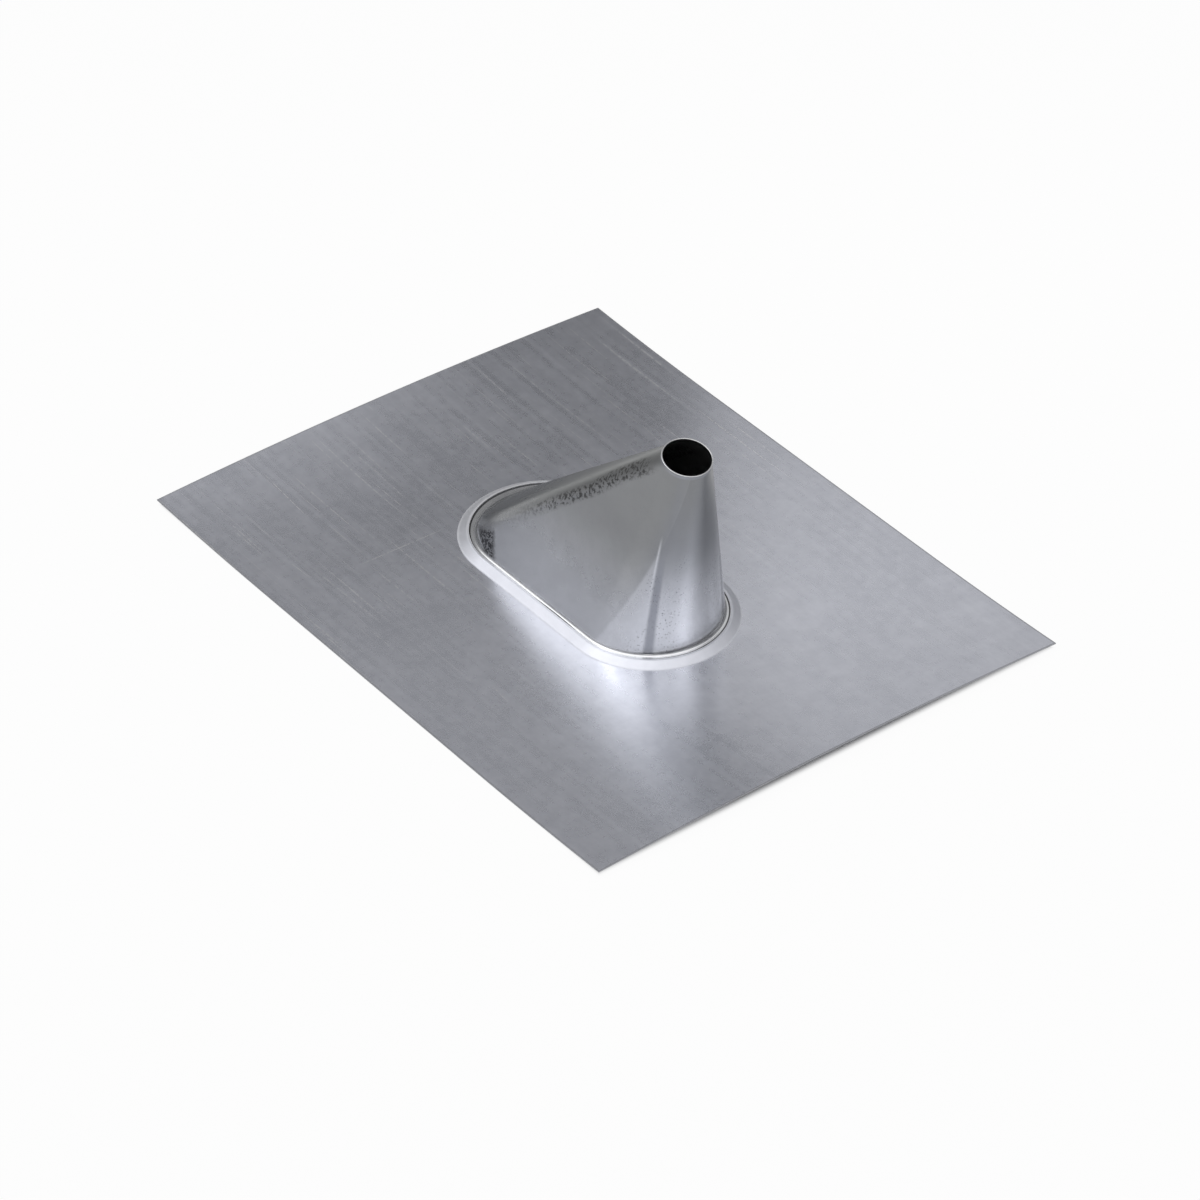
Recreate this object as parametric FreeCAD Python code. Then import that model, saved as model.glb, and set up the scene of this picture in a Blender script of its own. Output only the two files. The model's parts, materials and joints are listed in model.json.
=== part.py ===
import FreeCAD, Part
import os
from math import asin, atan2, cos, degrees, radians, sin, sqrt, tan

# Pipe flashing boot: a square-cut roofing sheet with a raised curb round an oblong opening,
# and a pressed hood that is crimped under the curb and narrows from the oblong to a round mouth.
# Millimetres and degrees. The origin is the middle of the sheet's underside, +Z stands out from
# the roof, and +X runs from the hood's long low tail to its steep head, which is up the slope.

# Driving dimensions of the flashing sheet
sheet_length = 520.0
sheet_width = 400.0
sheet_thickness = 0.7
opening_straight = 119.0
opening_radius = 56.0
curb_rise = 4.3
curb_slope = 36.0
curb_foot_bend = 3.0
curb_lip_bend = 1.5
curb_lip_land = 1.0

# Driving dimensions of the hood
hood_thickness = 0.6
seam_clearance = 0.1
skirt_end_height = 0.6
side_gap = 2.4
head_gap = 4.0
tail_gap = 6.0
hood_foot_bend = 2.0
mouth_bore = 34.0
mouth_collar = 3.0
mouth_collar_wall = 1.0
mouth_reach = 98.5
mouth_height = 158.5
mouth_lean = 14.0
hip_tightness = 0.68
crown_flatness = 1.7
hip_onset = 12.0
hip_fade = 4.0

# Heights of the seam, from the underside of the sheet
lip_underside = curb_rise
ledge_top = lip_underside - seam_clearance
ledge_underside = ledge_top - hood_thickness

# Points and stations through which the hood's wall is drawn
HEAD_POINTS = 37
TAIL_POINTS = 33
FOOT_STATIONS = 4
TAIL_STATIONS = (0.0, 0.03, 0.08, 0.16, 0.3, 0.5, 0.7, 0.87, 1.0)
SEWING_GAP = 0.001
UP = FreeCAD.Vector(0, 0, 1)


def point(x, y, z):
    return FreeCAD.Vector(x, y, z)


def mix(start, end, share):
    """Point that lies the given share of the way from start to end."""
    return start + (end - start) * share


def even_places(count):
    """Numbers from -1 to 1 in even steps."""
    return [2.0 * k / (count - 1) - 1.0 for k in range(count)]


def oblong(radius, z):
    """Flat face of an oblong round the opening's end centres: straight sides along X, round ends."""
    left, right = -opening_straight / 2, opening_straight / 2
    near_left, near_right = point(left, -radius, z), point(right, -radius, z)
    far_left, far_right = point(left, radius, z), point(right, radius, z)
    head = Part.Arc(near_right, point(right + radius, 0, z), far_right).toShape()
    tail = Part.Arc(far_left, point(left - radius, 0, z), near_left).toShape()
    near, far = Part.makeLine(near_left, near_right), Part.makeLine(far_right, far_left)
    return Part.Face(Part.Wire([near, head, far, tail]))


# Bent sheet sections

def bent_strip(place, z, thickness, moves):
    """Section of a sheet that is bent along a path.

    The path starts level, with the sheet's under face at height z, and place(s, z) puts a
    point of the section in space. A move is a run, given as its length, or a bend, given as
    its inside radius and its angle, which is positive upwards.
    """
    s, heading = 0.0, 0.0
    under_edges, upper_edges = [], []

    def rail(along, height, offset):
        return place(along - offset * sin(heading), height + offset * cos(heading))

    for move in moves:
        start = [rail(s, z, offset) for offset in (0.0, thickness)]
        if isinstance(move, tuple):
            inside, angle = move
            turn = radians(angle)
            under_radius = inside + thickness if angle > 0 else -inside
            centre_s, centre_z = s - under_radius * sin(heading), z + under_radius * cos(heading)
            middles = []
            for part_turn in (turn / 2, turn):
                bearing = heading + part_turn
                middles.append([place(centre_s + (under_radius - offset) * sin(bearing),
                                      centre_z - (under_radius - offset) * cos(bearing))
                                for offset in (0.0, thickness)])
            s = centre_s + under_radius * sin(heading + turn)
            z = centre_z - under_radius * cos(heading + turn)
            heading += turn
            under_edges.append(Part.Arc(start[0], middles[0][0], middles[1][0]).toShape())
            upper_edges.append(Part.Arc(start[1], middles[0][1], middles[1][1]).toShape())
        else:
            s, z = s + move * cos(heading), z + move * sin(heading)
            end = [rail(s, z, offset) for offset in (0.0, thickness)]
            under_edges.append(Part.makeLine(start[0], end[0]))
            upper_edges.append(Part.makeLine(start[1], end[1]))
    first = Part.makeLine(under_edges[0].Vertexes[0].Point, upper_edges[0].Vertexes[0].Point)
    last = Part.makeLine(rail(s, z, 0.0), rail(s, z, thickness))
    edges = Part.__sortEdges__(under_edges + upper_edges + [first, last])
    return Part.Face(Part.Wire(edges))


def around_opening(section):
    """Carry a section, drawn at its distance from the end centre along X, round the oblong."""
    half = opening_straight / 2
    near = section.copy()
    near.rotate(point(0, 0, 0), UP, -90)
    far = section.copy()
    far.rotate(point(0, 0, 0), UP, 90)
    head = near.revolve(point(0, 0, 0), UP, 180)
    tail = far.revolve(point(0, 0, 0), UP, 180)
    head.translate(point(half, 0, 0))
    tail.translate(point(-half, 0, 0))
    straights = []
    for profile in (near, far):
        profile.translate(point(-half, 0, 0))
        straights.append(profile.extrude(point(opening_straight, 0, 0)))
    return head.multiFuse([tail] + straights)


# Flashing sheet

slope = radians(curb_slope)
bend_sum = curb_foot_bend + sheet_thickness + curb_lip_bend
curb_run = (curb_rise - bend_sum * (1 - cos(slope))) / sin(slope)
curb_width = bend_sum * sin(slope) + curb_run * cos(slope) + curb_lip_land
foot_radius = opening_radius + curb_width


def make_flashing_sheet():
    plate = Part.makeBox(sheet_length, sheet_width, sheet_thickness,
                         point(-sheet_length / 2, -sheet_width / 2, 0))
    hole = oblong(foot_radius, 0).extrude(point(0, 0, sheet_thickness))
    moves = [(curb_foot_bend, curb_slope), curb_run, (curb_lip_bend, -curb_slope), curb_lip_land]
    section = bent_strip(lambda s, z: point(foot_radius - s, 0, z), 0.0, sheet_thickness, moves)
    return plate.cut(hole).fuse(around_opening(section)).removeSplitter()


# Hood skin

def strips(rows):
    """Faces that join each row of points to the next one."""
    return Part.makeLoft([Part.makePolygon(row) for row in rows], False, True).Faces


def flat_face(points):
    return Part.Face(Part.makePolygon(points + points[:1]))


def foot_bend(corner, outward, climb, radius):
    """Points of the bend between the level ledge and a wall that climbs from the given corner."""
    along = UP.cross(outward)
    wall = climb - along * climb.dot(along)
    slant = atan2(wall.z, -wall.dot(outward))
    centre = corner + outward * (radius * tan(slant / 2)) + UP * radius
    points = []
    for k in range(FOOT_STATIONS):
        turn = slant * k / (FOOT_STATIONS - 1)
        points.append(centre - outward * (radius * sin(turn)) - UP * (radius * cos(turn)))
    return points


class Skin:
    """One face of the hood's pressed sheet, set in from the outer face by the given depth."""

    def __init__(self, depth):
        lean = radians(mouth_lean)
        side = opening_radius - side_gap
        head_x = opening_straight / 2 + opening_radius - head_gap
        tail_x = -opening_straight / 2 - opening_radius + tail_gap
        outer_mouth = (mouth_bore + mouth_collar_wall + hood_thickness) / 2
        self.across = point(cos(lean), 0, -sin(lean))
        self.axis = point(sin(lean), 0, cos(lean))
        self.mouth_centre = point(mouth_reach, 0, mouth_height) - self.axis * mouth_collar
        rise = self.mouth_centre.z - ledge_top
        flank = atan2(rise, side - outer_mouth)
        head = atan2(rise - outer_mouth * sin(lean), head_x - self.mouth_centre.x - outer_mouth * cos(lean))
        roof = atan2(rise + outer_mouth * sin(lean), self.mouth_centre.x - outer_mouth * cos(lean) - tail_x)
        self.bend = hood_foot_bend + depth
        self.mouth_radius = outer_mouth - depth
        self.level = ledge_top - depth
        self.side = side - depth * tan(flank / 2)
        self.head_centre = point(head_x - depth * tan(head / 2) - self.side, 0, self.level)
        self.tail_centre = point(tail_x + depth * tan(roof / 2) + self.side, 0, self.level)
        # Bearing from the head at which the flat flanks touch the leaning mouth
        self.touch = 90.0 + degrees(asin(sin(lean) / tan(flank)))

    def mouth(self, bearing):
        turn = radians(bearing)
        return (self.mouth_centre + self.across * (self.mouth_radius * cos(turn))
                + point(0, self.mouth_radius * sin(turn), 0))

    def tail_outline(self, share, low_side, low_tip):
        """Points across the tail at a share of the way up: flank, hip, crowned roof, hip, flank."""
        places = even_places(TAIL_POINTS)
        if share == 1.0:
            return [self.mouth(180 - (180 - self.touch) * place) for place in places]
        near = mix(low_side, self.mouth(-self.touch), share)
        tip = mix(low_tip, self.mouth(180), share)
        middle = point(near.x, 0, near.z)
        inward = (middle - tip).normalize()
        reach, half = (middle - tip).Length, -near.y
        fullness = (1 - (1 - share) ** hip_onset) * (1 - share ** hip_fade)
        hip = half * (1 - hip_tightness * fullness)
        crown = half * (1 + crown_flatness * fullness)
        hip_reach = crown - sqrt((crown - hip) ** 2 - (half - hip) ** 2)
        crown_turn = atan2(half - hip, crown - hip_reach)
        # Close to the mouth the hip takes up the whole side, and no flat is left
        flat_length = max(reach - hip_reach, 0.0)
        hip_length = hip * (radians(90) - crown_turn)
        quarter = flat_length + hip_length + crown * crown_turn
        points = []
        for place in places:
            walk = quarter * (1 - abs(place))
            if walk < flat_length:
                along, out = reach - walk, half
            elif walk < flat_length + hip_length:
                turn = radians(90) - (walk - flat_length) / hip
                along, out = hip_reach - hip * cos(turn), half - hip + hip * sin(turn)
            else:
                turn = (quarter - walk) / crown
                along, out = crown - crown * cos(turn), crown * sin(turn)
            points.append(tip + inward * along + point(0, out if place > 0 else -out, 0))
        points[0], points[-1] = near, point(near.x, -near.y, near.z)
        return points

    def foot(self):
        """Rows of points up the foot bend, round the head and round the tail."""
        head, tail = [], []
        for place in even_places(HEAD_POINTS):
            turn = radians(90 * place)
            outward = point(cos(turn), sin(turn), 0)
            corner = self.head_centre + outward * self.side
            head.append(foot_bend(corner, outward, self.mouth(self.touch * place) - corner, self.bend))
        side = self.tail_centre - point(0, self.side, 0)
        tip = self.tail_centre - point(self.side, 0, 0)
        low, high = [self.tail_outline(share, side, tip) for share in TAIL_STATIONS[:2]]
        for corner, above in zip(low, high):
            outward = (corner - self.tail_centre).normalize()
            tail.append(foot_bend(corner, outward, above - corner, self.bend))
        # The ends of the tail share the flat flanks' slant with the head
        tail[0] = [point(self.tail_centre.x, p.y, p.z) for p in head[0]]
        tail[-1] = [point(self.tail_centre.x, p.y, p.z) for p in head[-1]]
        return list(zip(*head)), list(zip(*tail))

    def solid(self):
        """The closed body under this face, from the ledge to the foot of the collar."""
        head_rows, tail_rows = self.foot()
        rings = [list(head) + list(reversed(tail)) + [head[0]] for head, tail in zip(head_rows, tail_rows)]
        head, tail = head_rows[-1], tail_rows[-1]
        tip = tail[len(tail) // 2]
        outlines = [list(tail)] + [self.tail_outline(share, tail[0], tip) for share in TAIL_STATIONS[1:]]
        head_mouth = [self.mouth(self.touch * place) for place in even_places(HEAD_POINTS)]
        faces = strips(rings) + strips([list(head), head_mouth]) + strips(outlines)
        for end in (0, -1):
            side = [outline[end] for outline in outlines]
            faces.append(flat_face([head[end]] + side))
        faces.append(flat_face(rings[0][:-1]))
        faces.append(flat_face(head_mouth + list(reversed(outlines[-1]))[1:-1]))
        skin = Part.makeCompound(faces)
        skin.sewShape(SEWING_GAP)
        return Part.Solid(Part.Shell(skin.Faces))


# Hood

def make_hood():
    outer_skin, inner_skin = Skin(0.0), Skin(hood_thickness)
    rim_radius = opening_radius + curb_lip_land
    ledge = oblong(rim_radius, ledge_underside).extrude(point(0, 0, hood_thickness))
    skirt_bend = curb_lip_bend - seam_clearance - hood_thickness
    skirt_drop = ledge_underside - skirt_bend * (1 - cos(slope)) - skirt_end_height
    moves = [(skirt_bend, -curb_slope), skirt_drop / sin(slope)]
    section = bent_strip(lambda s, z: point(rim_radius + s, 0, z), ledge_underside, hood_thickness, moves)
    skirt = around_opening(section)
    collar = Part.makeCylinder(mouth_bore / 2 + mouth_collar_wall, mouth_collar,
                               outer_skin.mouth_centre, outer_skin.axis)
    body = outer_skin.solid().multiFuse([ledge, skirt, collar])
    bore = Part.makeCylinder(mouth_bore / 2, 2 * mouth_collar, outer_skin.mouth_centre, outer_skin.axis)
    return body.cut(inner_skin.solid()).cut(bore).removeSplitter()


os.makedirs("parts", exist_ok=True)
pieces = {"flashing_sheet": make_flashing_sheet(), "hood": make_hood()}
for name, piece in pieces.items():
    box = piece.BoundBox
    print(name, piece.isValid(), len(piece.Solids), "solids", round(piece.Volume, 1), "mm3",
          [round(v, 2) for v in (box.XMin, box.YMin, box.ZMin, box.XMax, box.YMax, box.ZMax)])
    piece.Solids[0].exportStep("parts/" + name + ".step")
common = pieces["flashing_sheet"].common(pieces["hood"])
print("overlap", round(common.Volume, 4))
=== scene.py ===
# %% [markdown]
# # A pipe flashing boot in galvanised steel
#
# The object is a square-cut roofing sheet with a raised curb round an oblong opening, and a
# pressed hood that is crimped into the curb and narrows to a round mouth for a pipe. This file
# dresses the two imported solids: it makes each sheet again as a fine, smooth mesh in the same
# place, gives both a galvanised finish, and sets up a plain studio round them.
#
# Everything is in metres. The origin is the middle of the sheet's underside, +Z stands out from
# the roof, and +X runs from the hood's long low tail to its steep head.

import json
from math import asin, atan2, cos, degrees, pi, radians, sin, sqrt, tan

import bmesh
import bpy
import numpy as np
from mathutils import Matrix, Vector


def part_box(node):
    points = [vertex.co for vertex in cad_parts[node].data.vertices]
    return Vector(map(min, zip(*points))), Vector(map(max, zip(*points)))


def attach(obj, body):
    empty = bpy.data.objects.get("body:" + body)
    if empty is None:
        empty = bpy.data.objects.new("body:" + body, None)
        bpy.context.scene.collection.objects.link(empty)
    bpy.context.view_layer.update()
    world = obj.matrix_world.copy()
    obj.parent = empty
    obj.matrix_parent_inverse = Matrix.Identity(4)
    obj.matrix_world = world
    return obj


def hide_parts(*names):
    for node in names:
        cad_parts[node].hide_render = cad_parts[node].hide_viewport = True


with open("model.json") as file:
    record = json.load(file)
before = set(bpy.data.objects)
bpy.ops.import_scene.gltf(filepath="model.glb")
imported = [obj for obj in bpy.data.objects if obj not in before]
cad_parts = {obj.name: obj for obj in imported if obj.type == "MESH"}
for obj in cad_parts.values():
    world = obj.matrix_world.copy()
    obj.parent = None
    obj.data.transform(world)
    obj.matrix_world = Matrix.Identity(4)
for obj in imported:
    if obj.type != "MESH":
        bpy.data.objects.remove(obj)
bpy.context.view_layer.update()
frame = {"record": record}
record = frame["record"]
mounts = {mount["name"]: mount for mount in record["mounts"]}

# %% [markdown]
# ## Sizes
#
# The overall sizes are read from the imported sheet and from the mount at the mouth, so the dressed
# sheets cannot drift away from them. The bends of the seam are too small to read from a box, so
# they are named here: the curb climbs at 36 degrees from the sheet, ends in a level lip, and the
# hood's ledge lies under it.

# %% Read the sheet's and the mouth's sizes
mm = 0.001
sheet_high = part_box("flashing_sheet")[1]
sheet_half_x = sheet_high.x
sheet_half_y = sheet_high.y
lip_top = sheet_high.z
mouth = mounts["pipe_mouth"]
mouth_axis = np.array(mouth["axis"], float)
bore_radius = mouth["dims"]["r_mm"] * mm
print("sheet", sheet_half_x * 2, "x", sheet_half_y * 2, "lip top", lip_top, "bore", bore_radius)

# %% Name the seam's and the hood's sizes
sheet_thickness = 0.7 * mm
opening_straight = 119 * mm
opening_radius = 56 * mm
curb_slope = radians(36)
curb_foot_bend = 3.0 * mm
curb_lip_bend = 1.5 * mm
curb_lip_land = 1.0 * mm
hood_thickness = 0.6 * mm
seam_clearance = 0.1 * mm
skirt_end_height = 0.6 * mm
side_gap = 2.4 * mm
head_gap = 4.0 * mm
tail_gap = 6.0 * mm
hood_foot_bend = 2.0 * mm
collar_length = 3.0 * mm
collar_wall = 1.0 * mm
lip_underside = lip_top - sheet_thickness
ledge_top = lip_underside - seam_clearance
half_straight = opening_straight / 2

# %% [markdown]
# ## Walking round the oblong
#
# Every line of this product runs round the same oblong: a straight, a half circle, a straight and
# a half circle. A mesh made of such loops, one inside the other, follows the metal the way a
# press forms it, and its shading has no seams. A loop here is an array of points, one for each
# station, and a station is a centre on the X axis with an outward direction. Round an end, a
# place is a share of the half circle's half, from -1 on the near side to 1 on the far side.

# %% Stations round the oblong
straight_steps = 28
arc_steps = 80
places = np.linspace(-1, 1, arc_steps + 1)


def stations(head_angles):
    """Share along the straight, for each station, and its outward direction."""
    along = np.linspace(0.0, 1.0, straight_steps, endpoint=False)
    near = [(share, -90.0) for share in along]
    head = [(1.0, angle) for angle in head_angles[:-1]]
    far = [(1.0 - share, 90.0) for share in along]
    tail = [(0.0, 180.0 - angle) for angle in head_angles[::-1][:-1]]
    walk = np.array(near + head + far + tail)
    turn = np.radians(walk[:, 1])
    outward = np.column_stack([np.cos(turn), np.sin(turn), 0 * turn])
    return walk[:, 0], outward


def loop_at(share, outward, tail_x, head_x, radius, z):
    """One loop of points round the oblong with the given end centres."""
    centre_x = tail_x + (head_x - tail_x) * share
    points = outward * np.reshape(radius, (-1, 1))
    points[:, 0] += centre_x
    points[:, 2] = z
    return points


even_angles = 90.0 * places
print("stations", len(stations(even_angles)[0]))

# %% Join loops into a closed mesh
merge_distance = 0.002 * mm
sharp_angle = radians(32)


def closed_mesh(name, loops, masks):
    """Mesh through a closed stack of loops, with one value for each point and mask."""
    loops = np.array(loops)
    rows, count = loops.shape[:2]
    faces = []
    for row in range(rows):
        above = (row + 1) % rows
        for k in range(count):
            right = (k + 1) % count
            faces.append((row * count + k, row * count + right,
                          above * count + right, above * count + k))
    mesh = bpy.data.meshes.new(name)
    mesh.from_pydata(loops.reshape(-1, 3).tolist(), [], faces)
    for mask, values in masks.items():
        layer = mesh.attributes.new(mask, "FLOAT", "POINT")
        layer.data.foreach_set("value", np.array(values, dtype=np.float32).reshape(-1))
    shape = bmesh.new()
    shape.from_mesh(mesh)
    bmesh.ops.remove_doubles(shape, verts=shape.verts, dist=merge_distance)
    bmesh.ops.recalc_face_normals(shape, faces=shape.faces)
    shape.to_mesh(mesh)
    shape.free()
    mesh.shade_smooth()
    mesh.set_sharp_from_angle(angle=sharp_angle)
    piece = bpy.data.objects.new(name, mesh)
    bpy.context.scene.collection.objects.link(piece)
    print(name, len(mesh.vertices), "points", len(mesh.polygons), "faces")
    return piece


# %% [markdown]
# ## The flashing sheet
#
# The sheet is a flat blank whose middle is pressed up into a low curb. Its section is a foot
# bend, a slope, a lip bend and a short level lip, so the loops step along that section and then
# spread out over the flat part until they reach the square-cut border. Rolled sheet of this
# size never lies dead flat: the short edges of the real one rise some millimetres in the
# middle, which shows as a bow in its outline and in its reflections. The points are lifted, never
# lowered, so the sheet still stands on its middle.

# %% Section of the curb
bend_points = 8


def arc_points(centre, radius, start, end, count):
    """Points of an arc in the section's plane, from the start to the end bearing, in radians."""
    bearings = np.linspace(start, end, count)
    return [(centre[0] + radius * cos(b), centre[1] + radius * sin(b)) for b in bearings]


bend_sum = curb_foot_bend + sheet_thickness + curb_lip_bend
curb_run = (lip_underside - bend_sum * (1 - cos(curb_slope))) / sin(curb_slope)
curb_width = bend_sum * sin(curb_slope) + curb_run * cos(curb_slope) + curb_lip_land
foot_radius = opening_radius + curb_width
lip_start = opening_radius + curb_lip_land


def curb_section(inset):
    """Radius and height along the curb's upper face, or its under face where inset is the thickness."""
    foot_centre = (foot_radius, sheet_thickness + curb_foot_bend)
    lip_centre = (lip_start, lip_underside - curb_lip_bend)
    foot_arc = arc_points(foot_centre, curb_foot_bend + inset, -pi / 2, -pi / 2 - curb_slope,
                          bend_points)
    lip_arc = arc_points(lip_centre, curb_lip_bend + sheet_thickness - inset,
                         pi / 2 - curb_slope, pi / 2, bend_points)
    return foot_arc + lip_arc + [(opening_radius, lip_top - inset)]


print("curb section from", foot_radius, "to", opening_radius)

# %% Lift of the sheet's border
short_edge_rise = 8.0 * mm
long_edge_rise = 3.0 * mm
flat_reach = 125 * mm


def lift(x, y):
    """Height by which the rolled sheet leaves the flat at a place."""
    out = np.clip((np.abs(x) - flat_reach) / (sheet_half_x - flat_reach), 0, 1)
    side = np.abs(y) / sheet_half_y
    crown = short_edge_rise * (1 - side ** 2) + long_edge_rise * side ** 2
    return out ** 2 * crown


print("middle of a short edge rises", round(float(lift(sheet_half_x, 0.0)) / mm, 2), "mm")

# %% Make the sheet's loops
corner_angle = degrees(atan2(sheet_half_y, sheet_half_x - half_straight))
corner_steps = arc_steps // 4
to_corner = np.linspace(-90.0, -corner_angle, corner_steps, endpoint=False)
past_corner = np.linspace(-corner_angle, corner_angle, arc_steps - 2 * corner_steps,
                          endpoint=False)
from_corner = np.linspace(corner_angle, 90.0, corner_steps + 1)
sheet_share, sheet_outward = stations(np.concatenate([to_corner, past_corner, from_corner]))
with np.errstate(divide="ignore"):
    to_end = (sheet_half_x - half_straight) / np.abs(sheet_outward[:, 0])
    to_side = sheet_half_y / np.abs(sheet_outward[:, 1])
on_straight = (sheet_share > 0) & (sheet_share < 1)
border = np.where(on_straight, to_side, np.minimum(to_end, to_side))
flat_steps = 34


def sheet_loops(inset):
    """Loops of one face of the sheet, from the border in to the lip."""
    loops = []
    for step in np.linspace(1.0, 0.0, flat_steps):
        radius = foot_radius + (border - foot_radius) * step
        loops.append(loop_at(sheet_share, sheet_outward, -half_straight, half_straight, radius,
                             sheet_thickness - inset))
    for radius, z in curb_section(inset)[1:]:
        loops.append(loop_at(sheet_share, sheet_outward, -half_straight, half_straight,
                             np.full(len(sheet_share), radius), z))
    for points in loops:
        points[:, 2] += lift(points[:, 0], points[:, 1])
    return loops


upper, under = sheet_loops(0.0), sheet_loops(sheet_thickness)
curb_rows = len(curb_section(0.0)) - 1
on_curb = [0.0] * flat_steps + [1.0] * (curb_rows - 1) + [2.0]
curb_mask = np.repeat(np.array(on_curb + on_curb[::-1])[:, None], len(sheet_share), axis=1)
flashing = closed_mesh("flashing_sheet_rolled", upper + under[::-1], {"curb": curb_mask})
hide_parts("flashing_sheet")
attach(flashing, "root")

# %% [markdown]
# ## The hood
#
# The hood is one deep-drawn sheet. Its head is half a steep cone, its flanks are flat, and its
# tail is a long low roof that folds into the flanks over two tight hips, and all of it ends on a
# leaning round mouth with a thicker collar. One face of the sheet is worked out at a depth below
# the outer face, so the same lines of code make the outer and the inner face.

# %% Points of the mouth and the foot
straight_ahead = np.array([mouth_axis[2], 0.0, -mouth_axis[0]])
collar_foot = np.array(mouth["pos_m"], float) - mouth_axis * collar_length / 2
skin_radius = bore_radius + (collar_wall + hood_thickness) / 2
side_reach = opening_radius - side_gap
head_x = half_straight + opening_radius - head_gap
tail_x = -half_straight - opening_radius + tail_gap
skin_rise = collar_foot[2] - ledge_top
lean = asin(mouth_axis[0])
lean_rise = skin_radius * sin(lean)
lean_reach = skin_radius * cos(lean)
flank_slant = atan2(skin_rise, side_reach - skin_radius)
head_slant = atan2(skin_rise - lean_rise, head_x - collar_foot[0] - lean_reach)
roof_slant = atan2(skin_rise + lean_rise, collar_foot[0] - lean_reach - tail_x)
touch = 90.0 + degrees(asin(sin(lean) / tan(flank_slant)))


def mouth_point(radius, bearing):
    """A point round the collar's foot, at a bearing in degrees from straight ahead."""
    turn = radians(bearing)
    return collar_foot + straight_ahead * radius * cos(turn) + np.array([0, radius * sin(turn), 0])


print("collar foot", collar_foot.round(4), "flanks touch the mouth at", round(touch, 2))

# %% Section across the tail
hip_tightness = 0.68
crown_flatness = 1.7
hip_onset = 12.0
hip_fade = 4.0


def tail_across(share, near, tip):
    """Points from the near flank over the crowned roof to the far flank, and the hip's closeness."""
    middle = np.array([near[0], 0.0, near[2]])
    reach, half = np.linalg.norm(middle - tip), -near[1]
    inward = (middle - tip) / reach
    fullness = (1 - (1 - share) ** hip_onset) * (1 - share ** hip_fade)
    hip = half * (1 - hip_tightness * fullness)
    crown = half * (1 + crown_flatness * fullness)
    hip_reach = crown - sqrt((crown - hip) ** 2 - (half - hip) ** 2)
    crown_turn = atan2(half - hip, crown - hip_reach)
    flat_length = max(reach - hip_reach, 0.0)
    hip_length = hip * (pi / 2 - crown_turn)
    quarter = flat_length + hip_length + crown * crown_turn
    points, hips = [], []
    for place in places:
        walk = quarter * (1 - abs(place))
        if walk < flat_length:
            along, out = reach - walk, half
        elif walk < flat_length + hip_length:
            turn = pi / 2 - (walk - flat_length) / hip
            along, out = hip_reach - hip * cos(turn), half - hip + hip * sin(turn)
        else:
            turn = (quarter - walk) / crown
            along, out = crown - crown * cos(turn), crown * sin(turn)
        points.append(tip + inward * along + np.array([0, out if place > 0 else -out, 0]))
        hips.append((walk - flat_length) / hip_length)
    return np.array(points), np.array(hips)


# %% The bend at the wall's foot
foot_steps = 7
roof_start = 0.03


def foot_bend(corner, outward, climb, radius):
    """Points of the bend from the level ledge into a wall that climbs from the corner."""
    along = np.cross([0, 0, 1.0], outward)
    wall = climb - along * climb.dot(along)
    slant = atan2(wall[2], -wall.dot(outward))
    centre = corner + outward * radius * tan(slant / 2) + np.array([0, 0, radius])
    turns = np.linspace(0, slant, foot_steps)
    return [centre - outward * radius * sin(t) - np.array([0, 0, radius * cos(t)]) for t in turns]


def head_feet(depth, side, centre):
    """The foot bend at each place round the head, for the face at a depth."""
    feet = []
    for place in places:
        outward = np.array([cos(pi / 2 * place), sin(pi / 2 * place), 0])
        corner = centre + outward * side
        climb = mouth_point(skin_radius - depth, touch * place) - corner
        feet.append(foot_bend(corner, outward, climb, hood_foot_bend + depth))
    return np.array(feet)


def tail_feet(depth, side, centre):
    """The foot bend at each place round the tail, which rises as the lowest part of its roof."""
    radius = skin_radius - depth
    side_foot, tip_foot = centre - [0, side, 0], centre - [side, 0, 0]
    above_side = side_foot + (mouth_point(radius, -touch) - side_foot) * roof_start
    above_tip = tip_foot + (mouth_point(radius, 180) - tip_foot) * roof_start
    low = tail_across(0.0, side_foot, tip_foot)[0]
    high = tail_across(roof_start, above_side, above_tip)[0]
    feet = []
    for corner, above in zip(low, high):
        outward = (corner - centre) / np.linalg.norm(corner - centre)
        feet.append(foot_bend(corner, outward, above - corner, hood_foot_bend + depth))
    return np.array(feet)


# %% Rows of the wall round the head and the tail
# The rows stand closer together near the foot and the mouth, where the shape changes most.
wall_shares = np.concatenate([np.linspace(0, 0.1, 12), np.linspace(0.1, 0.9, 34)[1:],
                              np.linspace(0.9, 1.0, 8)[1:]])[1:]


def both_feet(depth):
    """Foot bends round the head and the tail, which share their ends' heights along the flanks."""
    side = side_reach - depth * tan(flank_slant / 2)
    head_centre_x = head_x - depth * tan(head_slant / 2) - side
    tail_centre_x = tail_x + depth * tan(roof_slant / 2) + side
    head = head_feet(depth, side, np.array([head_centre_x, 0, ledge_top - depth]))
    tail = tail_feet(depth, side, np.array([tail_centre_x, 0, ledge_top - depth]))
    for end in (0, -1):
        tail[end] = head[end]
        tail[end, :, 0] = tail_centre_x
    return head, tail


def head_rows(feet, radius):
    """Rows round the head, which is a straight cone between its foot and the mouth."""
    rows = [feet[:, k] for k in range(foot_steps)]
    at_mouth = np.array([mouth_point(radius, touch * place) for place in places])
    for share in wall_shares:
        rows.append(feet[:, -1] * (1 - share) + at_mouth * share)
    return rows


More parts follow.
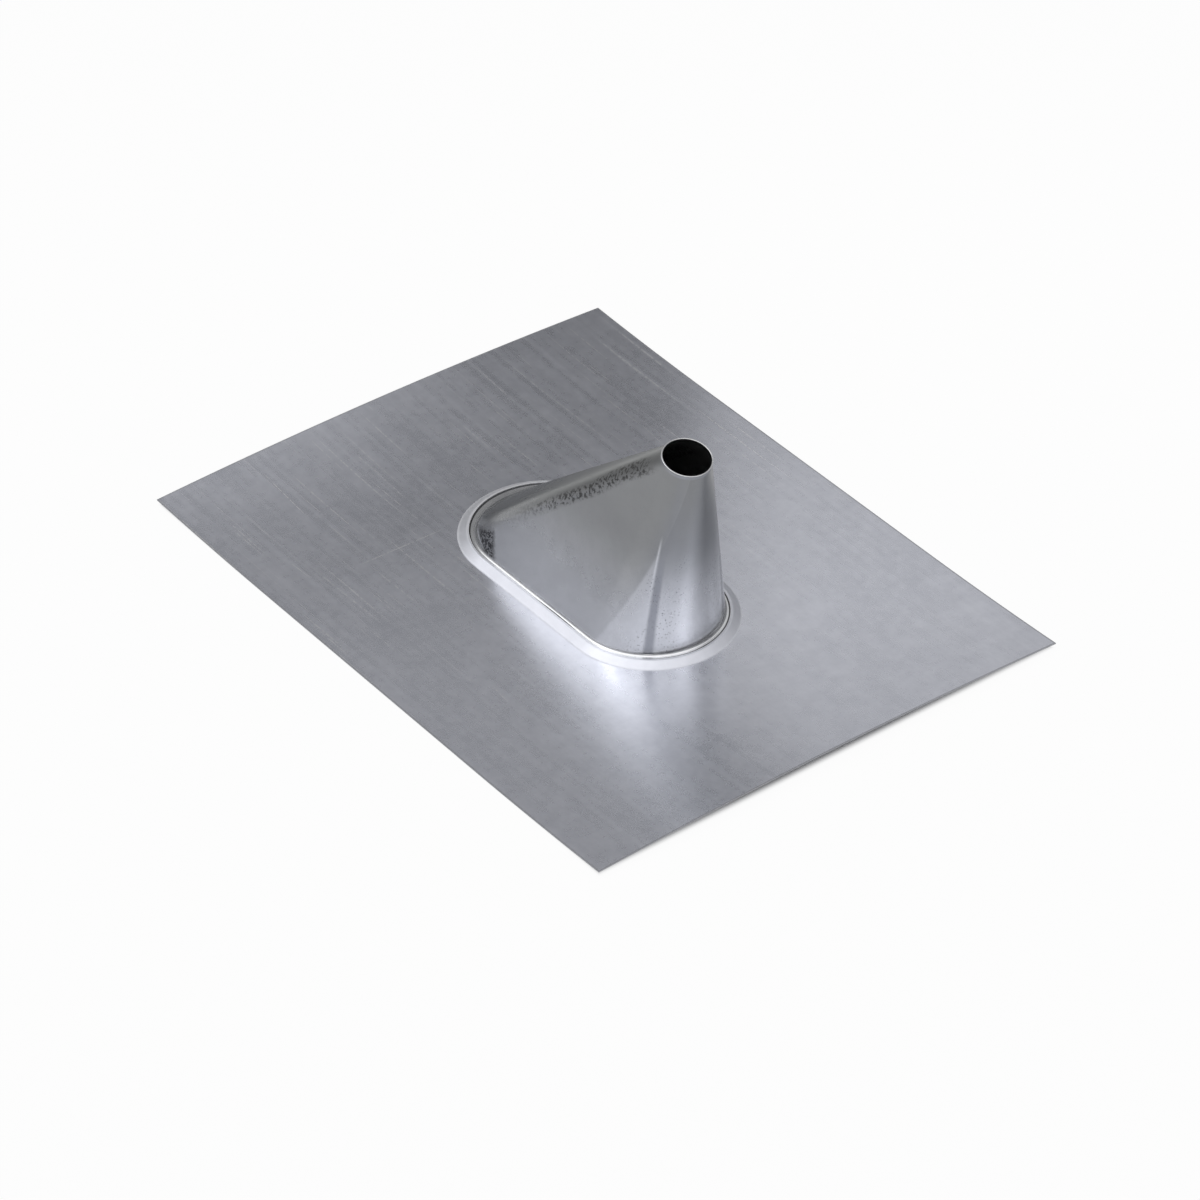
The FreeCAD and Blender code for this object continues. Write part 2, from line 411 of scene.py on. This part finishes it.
def tail_rows(feet, radius):
    """Rows over the tail's roof, and how close each point is to the middle of the hip."""
    rows = [feet[:, k] for k in range(foot_steps)]
    hips = [np.zeros(arc_steps + 1)] * foot_steps
    near, tip = feet[0, -1], feet[arc_steps // 2, -1]
    near_top, tip_top = mouth_point(radius, -touch), mouth_point(radius, 180)
    for share in wall_shares[:-1]:
        across, closeness = tail_across(share, near + (near_top - near) * share,
                                        tip + (tip_top - tip) * share)
        across[[0, -1], 1] = np.array([-1, 1]) * abs(across[0, 1])
        rows.append(across)
        hips.append(closeness)
    rows.append(np.array([mouth_point(radius, 180 - (180 - touch) * place) for place in places]))
    hips.append(hips[-1])
    return rows, hips


print("rows of the wall", foot_steps + len(wall_shares))

# %% Loops of one face of the wall, with the masks for its finish
# hip is 0 where the flat flank ends and 1 where the crowned roof starts. head is 0 at the front of
# the head and 1 on the flanks. climb goes from 0 above the foot bend to 1 at the mouth.
off_hip = -9.0
ledge_climb = -0.5
beside_head = np.ones(straight_steps)
head_mask = np.concatenate([beside_head, np.abs(places)[:-1], beside_head, np.ones(arc_steps)])
climbs = list(np.linspace(ledge_climb, 0.0, foot_steps)) + list(wall_shares)


def wall_loops(depth):
    """Loops of the wall's face at a depth, from the ledge to the mouth, and its three masks."""
    head_foot, tail_foot = both_feet(depth)
    heads = head_rows(head_foot, skin_radius - depth)
    tails, hips = tail_rows(tail_foot, skin_radius - depth)
    share = np.linspace(0, 1, straight_steps, endpoint=False)[:, None]
    off_tail = np.full(2 * straight_steps + arc_steps - 1, off_hip)
    loops, masks = [], {"hip": [], "head": [], "climb": []}
    for head, tail, hip, climb in zip(heads, tails, hips, climbs):
        near_flank = tail[0] * (1 - share) + head[0] * share
        far_flank = head[-1] * (1 - share) + tail[-1] * share
        loops.append(np.concatenate([near_flank, head[:-1], far_flank, tail[::-1][:-1]]))
        masks["hip"].append(np.concatenate([hip[:1], off_tail, hip[::-1][:-1]]))
        masks["head"].append(head_mask)
        masks["climb"].append(np.full(len(head_mask), climb))
    return loops, masks


# %% [markdown]
# ## The skirt and the collar
#
# Under the curb's lip the hood has a level ledge, and below that a short skirt that follows the
# curb's slope with a small clearance. The lip is crimped down on the ledge, which holds the two
# sheets together. At the top the metal is thicker for the last three millimetres and rounded at
# its rim, as a collar. Skirt, wall and collar could be three meshes that touch. They are loops
# with the same stations instead, so the whole hood is one closed skin without a step.

# %% Loops of the skirt
hood_share, hood_outward = stations(even_angles)
skirt_bend_points = 6
skirt_bend = curb_lip_bend - seam_clearance - hood_thickness
skirt_drop = ledge_top - hood_thickness - skirt_bend * (1 - cos(curb_slope)) - skirt_end_height
skirt_run = skirt_drop / sin(curb_slope)


def skirt_loops(depth):
    """Loops from the skirt's free end, under the curb, up to the rim of the ledge."""
    centre = (lip_start, ledge_top - hood_thickness - skirt_bend)
    bend = arc_points(centre, skirt_bend + hood_thickness - depth, pi / 2 - curb_slope, pi / 2,
                      skirt_bend_points)
    free_end = (bend[0][0] + skirt_run * cos(curb_slope), bend[0][1] - skirt_run * sin(curb_slope))
    return [loop_at(hood_share, hood_outward, -half_straight, half_straight,
                    np.full(len(hood_share), radius), z) for radius, z in [free_end] + bend]


# %% Loops of the collar
rim_round = 0.35 * mm
rim_points = 5
beside_mouth = np.full(straight_steps, touch)
mouth_bearings = np.concatenate([-beside_mouth, touch * places[:-1], beside_mouth,
                                 180 - (180 - touch) * places[::-1][:-1]])


def collar_loop(radius, climb):
    """A loop round the collar, with the stations of the wall's loops."""
    return np.array([mouth_point(radius, b) + mouth_axis * climb for b in mouth_bearings])


outer_collar = bore_radius + collar_wall
rim_start = collar_length - rim_round
rim = arc_points((outer_collar - rim_round, rim_start), rim_round, 0, pi / 2, rim_points)
rim += arc_points((bore_radius + rim_round, rim_start), rim_round, pi / 2, pi, rim_points)
collar = [collar_loop(outer_collar, 0.0)] + [collar_loop(r, climb) for r, climb in rim]
collar.append(collar_loop(bore_radius, 0.0))
print("loops of the collar", len(collar))

# %% Make the hood
# The crimp line runs on the ledge just inside the curb's lip. The seam mask is the distance from
# it in millimetres.
crimp_inset = 0.45 * mm
crimp_line = loop_at(hood_share, hood_outward, -half_straight, half_straight,
                     np.full(len(hood_share), opening_radius - crimp_inset), ledge_top)
outer_wall, outer_masks = wall_loops(0.0)
inner_wall, inner_masks = wall_loops(hood_thickness)
outer_skirt, inner_skirt = skirt_loops(0.0), skirt_loops(hood_thickness)
collar_climb = [1.0] * 2 + [2.0] * (len(collar) - 4) + [1.0] * 2
hood_stack = outer_skirt + [crimp_line] + outer_wall + collar + inner_wall[::-1] + inner_skirt[::-1]
every = np.ones(len(hood_share))
hood_masks = {}
for mask, value in {"hip": off_hip, "head": 1.0, "climb": -1.0}.items():
    at_seam = [every * value] * (len(outer_skirt) + 1)
    around_mouth = [every * (climb if mask == "climb" else value) for climb in collar_climb]
    hood_masks[mask] = (at_seam + outer_masks[mask] + around_mouth
                        + inner_masks[mask][::-1] + at_seam[1:])
hood_masks["seam"] = [np.linalg.norm(points - crimp_line, axis=1) / mm for points in hood_stack]
hood = closed_mesh("hood_drawn", hood_stack, hood_masks)
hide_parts("hood")
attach(hood, "root")

# %% [markdown]
# ## Writing shader maths as plain expressions
#
# A galvanised finish is built from a handful of masks that are added, multiplied and faded.
# Written node by node that takes a page for each mask, so one small class wraps a socket: an
# expression such as `1 - mask * 0.5` then adds its Math nodes by itself. Any other node comes
# from the material's `add` method, which takes the node's type, its settings and its sockets.

# %% A socket that can be used in sums
class Value:
    """A number that varies over the surface, as the output socket of a node."""

    def __init__(self, nodes, socket):
        self.nodes = nodes
        self.socket = socket

    def math(self, operation, first, second=None):
        sockets = {0: first} if second is None else {0: first, 1: second}
        return self.nodes.add("ShaderNodeMath", {"operation": operation}, sockets)

    def __add__(self, other):
        return self.math("ADD", self, other)

    def __radd__(self, other):
        return self.math("ADD", other, self)

    def __sub__(self, other):
        return self.math("SUBTRACT", self, other)

    def __rsub__(self, other):
        return self.math("SUBTRACT", other, self)

    def __mul__(self, other):
        return self.math("MULTIPLY", self, other)

    def __rmul__(self, other):
        return self.math("MULTIPLY", other, self)

    def __truediv__(self, other):
        return self.math("DIVIDE", self, other)

    def __rtruediv__(self, other):
        return self.math("DIVIDE", other, self)

    def most(self, other):
        return self.math("MAXIMUM", self, other)

    def size(self):
        return self.math("ABSOLUTE", self)

    def between(self, low, high):
        """0 below low, 1 above high, and a smooth step between them."""
        settings = {"interpolation_type": "SMOOTHSTEP"}
        sockets = {0: self, 1: low, 2: high, 3: 0.0, 4: 1.0}
        return self.nodes.add("ShaderNodeMapRange", settings, sockets)


class Nodes:
    """A node tree, and the ways to add nodes to it."""

    def __init__(self, tree):
        self.tree = tree

    def add(self, kind, settings=None, sockets=None, output=0):
        node = self.tree.nodes.new(kind)
        for key, value in (settings or {}).items():
            setattr(node, key, value)
        for key, value in (sockets or {}).items():
            self.feed(node.inputs[key], value)
        return Value(self, node.outputs[output])

    def feed(self, socket, value):
        if isinstance(value, Value):
            self.tree.links.new(value.socket, socket)
        else:
            socket.default_value = value

    def vector(self, operation, first, second, output=0):
        sockets = {0: first, 1: second}
        return self.add("ShaderNodeVectorMath", {"operation": operation}, sockets, output)

    def part(self, vector, axis):
        """One coordinate of a vector."""
        return self.add("ShaderNodeSeparateXYZ", {}, {0: vector}, output=axis)


class Finish(Nodes):
    """A material with one Principled shader."""

    def __init__(self, name):
        self.material = bpy.data.materials.new(name)
        self.material.use_nodes = True
        super().__init__(self.material.node_tree)
        self.shader = self.tree.nodes["Principled BSDF"]
        self.place = self.add("ShaderNodeTexCoord", output="Object")

    def attribute(self, name):
        return self.add("ShaderNodeAttribute", {"attribute_name": name}, output="Fac")

    def coordinate(self, axis):
        """The place on the object along X, Y or Z, in metres."""
        return self.part(self.place, axis)

    def stretched(self, scale):
        """The place on the object, scaled along each axis, for grain that runs one way."""
        return self.vector("MULTIPLY", self.place, scale)

    def noise(self, scale, detail, roughness, place=None):
        """Cloudy noise whose patches are about one metre divided by the scale wide."""
        sockets = {"Vector": place or self.place, "Scale": scale, "Detail": detail,
                   "Roughness": roughness}
        return self.add("ShaderNodeTexNoise", {}, sockets, output="Fac")

    def pit_distance(self, scale):
        """Distance from the nearest of many scattered points, in shares of their spacing."""
        sockets = {"Vector": self.place, "Scale": scale, "Randomness": 1.0}
        return self.add("ShaderNodeTexVoronoi", {}, sockets, output="Distance")

    def blend(self, mask, first, second):
        """The first colour where the mask is 0, and the second where it is 1."""
        sockets = {0: mask, 6: first, 7: second}
        return self.add("ShaderNodeMix", {"data_type": "RGBA"}, sockets, output=2)

    def bump(self, height):
        """Normal of a skin with this height in millimetres."""
        sockets = {"Height": height, "Distance": 1.0 * mm, "Strength": 1.0}
        return self.add("ShaderNodeBump", {}, sockets, output="Normal")

    def set(self, **values):
        """Give the shader's sockets their values, such as base_color for Base Color."""
        for name, value in values.items():
            self.feed(self.shader.inputs[name.replace("_", " ").title()], value)


# %% [markdown]
# ## Galvanised finishes
#
# Hot-dip galvanised sheet is steel with a thin skin of zinc. It looks blue-grey and satin: it
# mirrors its surroundings only as a soft blur. Four kinds of detail show on it: broad clouds
# where the skin cooled at different speeds, a fine spangle of zinc crystals, finer flecks between
# them, and faint straight lines left by the rolls. All of it is metal, so the Principled shader is
# fully metallic, and the detail goes into its colour, its roughness and a very low bump.

# %% Clouds, spangle and rolling lines
def zinc(finish, dark, light, rough):
    """Colour, roughness and height, in millimetres, of plain galvanised metal."""
    clouds = finish.noise(9.0, 2.0, 0.6)
    flecks = finish.noise(170.0, 2.0, 0.6)
    spangle = finish.noise(75.0, 1.0, 0.5)
    lines = finish.noise(1.0, 1.0, 0.5, finish.stretched((3.0, 240.0, 30.0)))
    tone = clouds * 0.35 + spangle * 0.25 + flecks * 0.24 + lines * 0.16
    colour = finish.blend(tone.between(0.22, 0.78), dark, light)
    roughness = (clouds - 0.5) * 0.06 + (flecks - 0.5) * 0.05 + (lines - 0.5) * 0.06 + rough
    height = lines * 0.006 + flecks * 0.007
    return colour, roughness, height


# %% [markdown]
# ## The sheet's own marks
#
# The curb's zinc is duller, and its colour is painted paler, which is painted light, most of all
# round the tail. Its lip carries a painted highlight. The cut border has no zinc, and light
# scratches from handling run mostly along the sheet, the way it slides over others in a stack.
#
# A painted picture could hold all of this, but it would be tied to one size and one resolution.
# Here each long scratch is a short formula with two ends and a width, and the many fine hairlines
# come from noise that is stretched along the sheet. The curb is told apart by a value that the
# mesh carries, so the painted paler tone ends at the foot bend.

# %% The sheet's plain zinc and its scratches
sheet_finish = Finish("galvanised_sheet")
colour, roughness, height = zinc(sheet_finish, dark=(0.585, 0.60, 0.665, 1),
                                 light=(0.745, 0.76, 0.83, 1), rough=0.28)
across_x, across_y = sheet_finish.coordinate("X"), sheet_finish.coordinate("Y")


def scratch(start, end, width):
    """Mask of a straight mark between two places on the sheet, all in millimetres."""
    run = Vector(end) - Vector(start)
    unit = run.normalized()
    from_x, from_y = across_x - start[0] * mm, across_y - start[1] * mm
    along = (from_x * unit.x + from_y * unit.y) / (run.length * mm)
    off = (from_x * unit.y - from_y * unit.x).size()
    length_fade = along.between(0.0, 0.15) * (1 - along.between(0.75, 1.0))
    return length_fade * (1 - off.between(width * 0.3 * mm, width * mm))


scratches = scratch((-239, -122), (-176, -125), 0.6)
for start, end, width in (
    ((-216, -55), (-188, -54), 0.5),
    ((-172, -55), (-155, -56), 0.5),
    ((-201, 59), (-179, 59), 0.5),
    ((-142, -165), (-118, -164), 0.5),
    ((-111, -130), (-109, -48), 0.6),
    ((-122, 135), (-90, 132), 0.5),
    ((60, -136), (79, -138), 0.4),
):
    scratches = scratches.most(scratch(start, end, width))
hairline_noise = sheet_finish.noise(1.0, 0.0, 0.5, sheet_finish.stretched((8.0, 420.0, 0.0)))
hairlines = hairline_noise.between(0.70, 0.78)
worn_area = (across_x * -4.0 + 0.5).between(0.0, 1.0) * 0.9 + 0.1
broken = sheet_finish.noise(420.0, 1.0, 0.5).between(0.36, 0.56)
marks = scratches.most(hairlines * worn_area * 0.85) * broken
curb_place = sheet_finish.attribute("curb")
curb = curb_place.between(0.2, 1.0)
lip_edge = curb_place.between(1.6, 1.9)

# %% Bring the sheet's marks together
cut_edge_width = 0.7 * mm
cut_edge_fade = 0.8 * mm
curb_painted_light = (0.86, 0.865, 0.88, 1)
lip_painted_highlight = (0.93, 0.93, 0.95, 1)
scratched_zinc = (0.93, 0.93, 0.94, 1)
cut_steel = (0.30, 0.30, 0.31, 1)
cut_x, cut_y = sheet_half_x - cut_edge_width, sheet_half_y - cut_edge_width
edge_x = across_x.size().between(cut_x - cut_edge_fade, cut_x)
edge_y = across_y.size().between(cut_y - cut_edge_fade, cut_y)
cut_edge = edge_x.most(edge_y)
tail_curb = 1 - across_x.between(-130 * mm, -60 * mm)
# Painted light: the curb is painted paler, most of all round the tail.
colour = sheet_finish.blend(curb * (tail_curb * 0.55 + 0.2), colour, curb_painted_light)
# Painted highlight along the curb's lip.
colour = sheet_finish.blend(lip_edge * 0.7, colour, lip_painted_highlight)
colour = sheet_finish.blend(marks * 0.6, colour, scratched_zinc)
colour = sheet_finish.blend(cut_edge * 0.6, colour, cut_steel)
roughness = roughness + curb * 0.24 + marks * 0.04 + cut_edge * 0.15
sheet_finish.set(base_color=colour, roughness=roughness, metallic=1.0)
sheet_finish.set(normal=sheet_finish.bump(height))
flashing.data.materials.append(sheet_finish.material)
print("nodes in the sheet's finish", len(sheet_finish.tree.nodes))

# %% [markdown]
# ## The hood's own marks
#
# Deep drawing leaves its marks, and light and shade are painted in beside them. The zinc is
# painted darker with height up the wall and on the roof, and on the flanks and the upper head:
# painted shade. Each tight hip carries a line of fine wrinkles, bumped in and darkened with painted
# shade, with a painted dark reflection as a patch at its foot and a short painted highlight above
# that. The head has a fold from the press tool on each side, bumped in and darkened with painted
# shade, with painted highlights along its edge and on the face beside it, and a pitted, orange-peel
# skin. A painted shadow runs along the crimp under the curb's lip, the fillet above it carries a
# painted highlight, and the collar is painted paler.
#
# These marks could be cut into the mesh, but most are finer than its steps. The mesh carries masks
# that follow the shape instead: how near a point is to the hip's arc, how far round the head it
# lies, how far up the wall, and how far from the crimp. Each mark is a short formula of these and
# the place on the object.

# %% The hood's plain zinc and its painted shade by height
hood_finish = Finish("galvanised_hood")
colour, roughness, height = zinc(hood_finish, dark=(0.67, 0.68, 0.70, 1),
                                 light=(0.83, 0.84, 0.865, 1), rough=0.25)
hip, head, climb = [hood_finish.attribute(name) for name in ("hip", "head", "climb")]
hood_x, hood_z = hood_finish.coordinate("X"), hood_finish.coordinate("Z")
# Painted shade: the hood's colour is darker with height.
painted_shade_by_height = hood_z.between(20 * mm, 100 * mm)
wall = climb.between(-0.1, 0.0) * (1 - climb.between(1.0, 1.5))
roof = hip.between(0.1, 0.9)
side = (head + climb * 0.6).between(0.89, 0.94) * wall
near_tail = 1 - hood_x.between(-55 * mm, 0.0)
upper_head = (1 - side) * climb.between(0.4, 0.8)
# Painted shade on the flanks, more towards the tail, and on the upper head.
painted_shade_flanks_head = (side * (near_tail * 0.18 + 0.17)).most(upper_head * 0.34)

# %% Wrinkles, a painted dark patch and a painted glint along the hips
wrinkle_grain = hood_finish.noise(400.0, 2.0, 0.6).between(0.46, 0.60)
hip_off = (hip - climb.between(0.6, 0.85) * 0.36).size()
hip_line = (1 - hip_off.between(0.2, 0.55)) * climb.between(0.1, 0.6)
# The wrinkles are bumped in, and their dark colour is painted shade.
wrinkles_and_painted_shade = hip_line * (1 - climb.between(0.9, 0.98)) * (wrinkle_grain * 0.75 + 0.25)
# Painted dark reflection: a dark patch at the foot of each hip.
dark_patch_noise = hood_finish.noise(560.0, 2.0, 0.7)
dark_patch_grain = dark_patch_noise.between(0.40, 0.56) * 0.6 + 0.4
dark_patch_front = 1 - (hood_x + hood_z * 0.3 + dark_patch_noise * 12 * mm).between(-46 * mm, -41 * mm)
dark_patch_back = (hood_x + hood_z * 1.7).between(-54 * mm, -50 * mm)
patch_top_slant = hood_z - hood_x * 0.57
dark_patch_shape = dark_patch_front * dark_patch_back * (1 - patch_top_slant.between(58 * mm, 62 * mm))
painted_dark_patch = dark_patch_shape * climb.between(0.0, 0.01) * dark_patch_grain
# Painted highlight: a short bright band above the dark patch.
painted_glint_reach = hood_x.between(-90 * mm, -82 * mm) * (1 - hood_x.between(-76 * mm, -66 * mm))
painted_glint = (1 - (patch_top_slant - 64 * mm).size().between(1 * mm, 3 * mm)) * painted_glint_reach

# %% The head's fold and pits, its painted highlights, and the painted crimp shadow
fold_line = head - climb * 0.135 - 0.432
# The fold is bumped in, and its colour is darkened as painted shade.
fold_and_painted_shade = (1 - fold_line.size().between(0.02, 0.062)) * (1 - climb.between(0.36, 0.66)) * wall
edge_reach = climb.between(0.25, 0.5) * (1 - climb.between(0.58, 0.68))
# Painted highlight along the fold's edge.
fold_painted_highlight = (1 - (fold_line - 0.062).size().between(0.0, 0.025)) * edge_reach
# Painted highlight on the face beside the fold.
painted_highlight_facet = (1 - side) * fold_line.between(0.02, 0.07) * (1 - climb.between(0.45, 0.66)) * wall
pit_distance = hood_finish.pit_distance(520.0)
pit_chance = hood_finish.noise(60.0, 1.0, 0.5).between(0.40, 0.55)
on_head = (1 - head.between(0.55, 0.7)) * head.between(0.1, 0.25) * (1 - climb.between(0.5, 0.7))
pits = (1 - pit_distance.between(0.12, 0.30)) * pit_chance * wall * (on_head * 0.8 + 0.2)
# Painted highlight on the fillet above the ledge.
fillet_painted_highlight = (1 - climb.between(-0.12, 0.0)) * climb.between(-0.40, -0.25)
# Painted shadow along the crimp under the curb's lip.
painted_crimp_shadow = 1 - hood_finish.attribute("seam").between(0.9, 1.3)

# %% Bring the hood's marks together
on_collar = climb.between(1.5, 1.9)
for mask, tint in (
    (painted_shade_by_height * 0.76, (0.20, 0.205, 0.21, 1)),
    (painted_shade_flanks_head, (0.19, 0.195, 0.20, 1)),
    # Painted shade on the roof.
    (roof * 0.7, (0.22, 0.23, 0.225, 1)),
    (painted_highlight_facet * 0.28, (0.92, 0.93, 0.96, 1)),
    (painted_glint * 0.5, (0.88, 0.89, 0.90, 1)),
    (fold_and_painted_shade * 0.75, (0.30, 0.31, 0.34, 1)),
    (fold_painted_highlight * 0.5, (0.92, 0.93, 0.95, 1)),
    (painted_crimp_shadow * 0.9, (0.04, 0.04, 0.045, 1)),
    (pits * 0.85, (0.22, 0.225, 0.24, 1)),
    (wrinkles_and_painted_shade * 0.85, (0.05, 0.05, 0.05, 1)),
    (painted_dark_patch * 0.95, (0.02, 0.02, 0.025, 1)),
    # Painted highlight on the fillet; the collar is painted paler.
    ((fillet_painted_highlight * 0.15).most(on_collar * 0.7), (0.90, 0.905, 0.92, 1)),
):
    colour = hood_finish.blend(mask, colour, tint)
roughness = roughness + painted_shade_by_height * 0.06 + wrinkles_and_painted_shade * 0.15 + painted_dark_patch * 0.2 + fillet_painted_highlight * 0.1
height = height - wrinkles_and_painted_shade * 0.12 - fold_and_painted_shade * 0.20
hood_finish.set(base_color=colour, roughness=roughness, metallic=1.0)
hood_finish.set(normal=hood_finish.bump(height))
hood.data.materials.append(hood_finish.material)
print("nodes in the hood's finish", len(hood_finish.tree.nodes))

# %% [markdown]
# ## The studio
#
# The photograph is a cut-out on white. What the metal shows tells how it was lit: the curb and
# the front of the hood are nearly white, so wide soft boxes stood in front and overhead, and the
# flat sheet, which mirrors the space behind it, is grey, and lighter on its right half.
#
# The light is one wide, soft glow round a direction in front of and above the near flank. It is
# written into the world as a strength that grows with the nearness to that direction, which is
# what a dome of white cloth lit from one side does. Soft boxes stand where the hood mirrors them
# towards the sheet and the camera: those on the left and in front make the wide streak on the
# sheet, and those on the right keep the head's right side grey. Dim cards behind the part lighten
# the sheet's right half, its near corner and the curb's left end.
#
# The floor is pale. The camera sees nearly all of it as plain white, and reflections see a third
# of it so. The rest is its lit surface, which keeps the object's shadow. Under the sheet the floor
# has no white share, or it would shine up through the mouth.

# %% World
world = bpy.data.worlds.new("studio")
bpy.context.scene.world = world
world.use_nodes = True
dome = Nodes(world.node_tree)
glow_direction = tuple(Vector((0.22, -0.60, 0.77)).normalized())
dim_strength = 0.18
glow_strength = 1.08
direction = dome.add("ShaderNodeTexCoord", output="Generated")
nearness = dome.vector("DOT_PRODUCT", direction, glow_direction, output="Value")
overhead = dome.part(direction, "Z")
glow = nearness.between(0.15, 0.7) * overhead.between(0.05, 0.75)
sky = world.node_tree.nodes["Background"]
dome.feed(sky.inputs["Strength"], glow * glow_strength + dim_strength)
dome.feed(sky.inputs["Color"], (1, 1, 1, 1))
print("glow comes from", [round(v, 2) for v in glow_direction])

# %% Floor
floor_size = 12.0
floor_drop = 0.5 * mm
white_to_camera = 0.95
white_to_mirrors = 0.35
floor_finish = Finish("pale_floor")
floor_finish.set(base_color=(0.65, 0.65, 0.65, 1), roughness=0.9)
camera_ray = floor_finish.add("ShaderNodeLightPath", output="Is Camera Ray")
glossy_ray = floor_finish.add("ShaderNodeLightPath", output="Is Glossy Ray")
through_ray = floor_finish.add("ShaderNodeLightPath", output="Is Transmission Ray")
spread = floor_finish.vector("DIVIDE", floor_finish.place, (sheet_half_x, sheet_half_y, 1))
from_middle = floor_finish.part(spread, "X").size().most(floor_finish.part(spread, "Y").size())
beside_sheet = from_middle.between(0.97, 1.0)
seen = camera_ray * white_to_camera + (glossy_ray + through_ray) * white_to_mirrors
white = floor_finish.add("ShaderNodeEmission", {}, {"Color": (1, 1, 1, 1), "Strength": 1.0})
lit = Value(floor_finish, floor_finish.shader.outputs[0])
seen_floor = floor_finish.add("ShaderNodeMixShader", {}, {0: seen * beside_sheet, 1: lit, 2: white})
floor_finish.feed(floor_finish.tree.nodes["Material Output"].inputs["Surface"], seen_floor)

bpy.ops.mesh.primitive_plane_add(size=floor_size, location=(0, 0, -floor_drop))
floor = bpy.context.object
floor.name = "studio_floor"
floor.data.materials.append(floor_finish.material)

# %% Soft boxes
def soft_box(name, place, aim, width, height, brightness):
    """A rectangular lamp at a place that faces the point it is aimed at."""
    lamp = bpy.data.lights.new(name, "AREA")
    lamp.shape = "RECTANGLE"
    lamp.size, lamp.size_y = width, height
    lamp.energy = brightness * width * height * pi
    box = bpy.data.objects.new(name, lamp)
    box.location = place
    box.rotation_euler = (Vector(place) - Vector(aim)).to_track_quat("Z", "Y").to_euler()
    bpy.context.scene.collection.objects.link(box)


soft_box("left_box", (-0.68, -0.32, 0.98), (0.0, -0.05, 0.0), 0.6, 0.5, 0.9)
soft_box("left_card", (-0.45, 0.10, 0.44), (-0.07, -0.20, 0.08), 0.46, 0.30, 0.03)
soft_box("right_card", (-0.21, 0.52, 0.385), (0.18, 0.24, 0.0), 0.40, 0.38, 0.38)
soft_box("high_box", (-0.87, -0.03, 0.90), (0.0, -0.05, 0.0), 0.40, 0.35, 0.2)
soft_box("mid_box", (-0.36, -0.72, 0.98), (0.0, -0.05, 0.0), 0.6, 0.45, 1.4)
soft_box("front_box", (0.42, -0.70, 1.02), (0.10, 0.0, 0.0), 0.7, 0.32, 0.6)
soft_box("low_right_box", (0.92, 0.20, 0.56), (0.10, 0.0, 0.0), 0.35, 0.35, 0.8)
soft_box("right_box", (0.58, 0.70, 0.85), (0.10, 0.0, 0.0), 0.8, 0.5, 0.4)
soft_box("high_card", (-0.52, 0.38, 0.68), (0.15, -0.12, 0.0), 0.80, 0.30, 0.18)
soft_box("back_card", (0.10, 0.79, 0.62), (0.10, 0.0, 0.0), 0.6, 0.5, 0.42)
print("lamps", [lamp.name for lamp in bpy.data.lights])

# %% [markdown]
# ## The camera
#
# The photograph was taken from the right of the hood's head, about 37 degrees above the sheet,
# with a long lens. The numbers below were found by laying the model's corners, lip and mouth
# over the photograph's.

# %% Set the camera
image_width = 1200
film_width = 36
view_azimuth = radians(52.38)
view_elevation = radians(37.19)
focal_pixels = 5300
camera_distance = 3.742
shift_pixels = (-1.6, -25.8)
back = Vector((sin(view_azimuth) * cos(view_elevation), -cos(view_azimuth) * cos(view_elevation),
               sin(view_elevation)))
camera = bpy.data.cameras.new("camera")
camera.sensor_width = film_width
camera.lens = focal_pixels / image_width * film_width
camera.shift_x = -shift_pixels[0] / image_width
camera.shift_y = shift_pixels[1] / image_width
viewer = bpy.data.objects.new("camera", camera)
viewer.location = back * camera_distance
viewer.rotation_euler = back.to_track_quat("Z", "Y").to_euler()
bpy.context.scene.collection.objects.link(viewer)
bpy.context.scene.camera = viewer
bpy.context.scene.view_settings.view_transform = "Standard"
print("lens", round(camera.lens, 1), "mm")
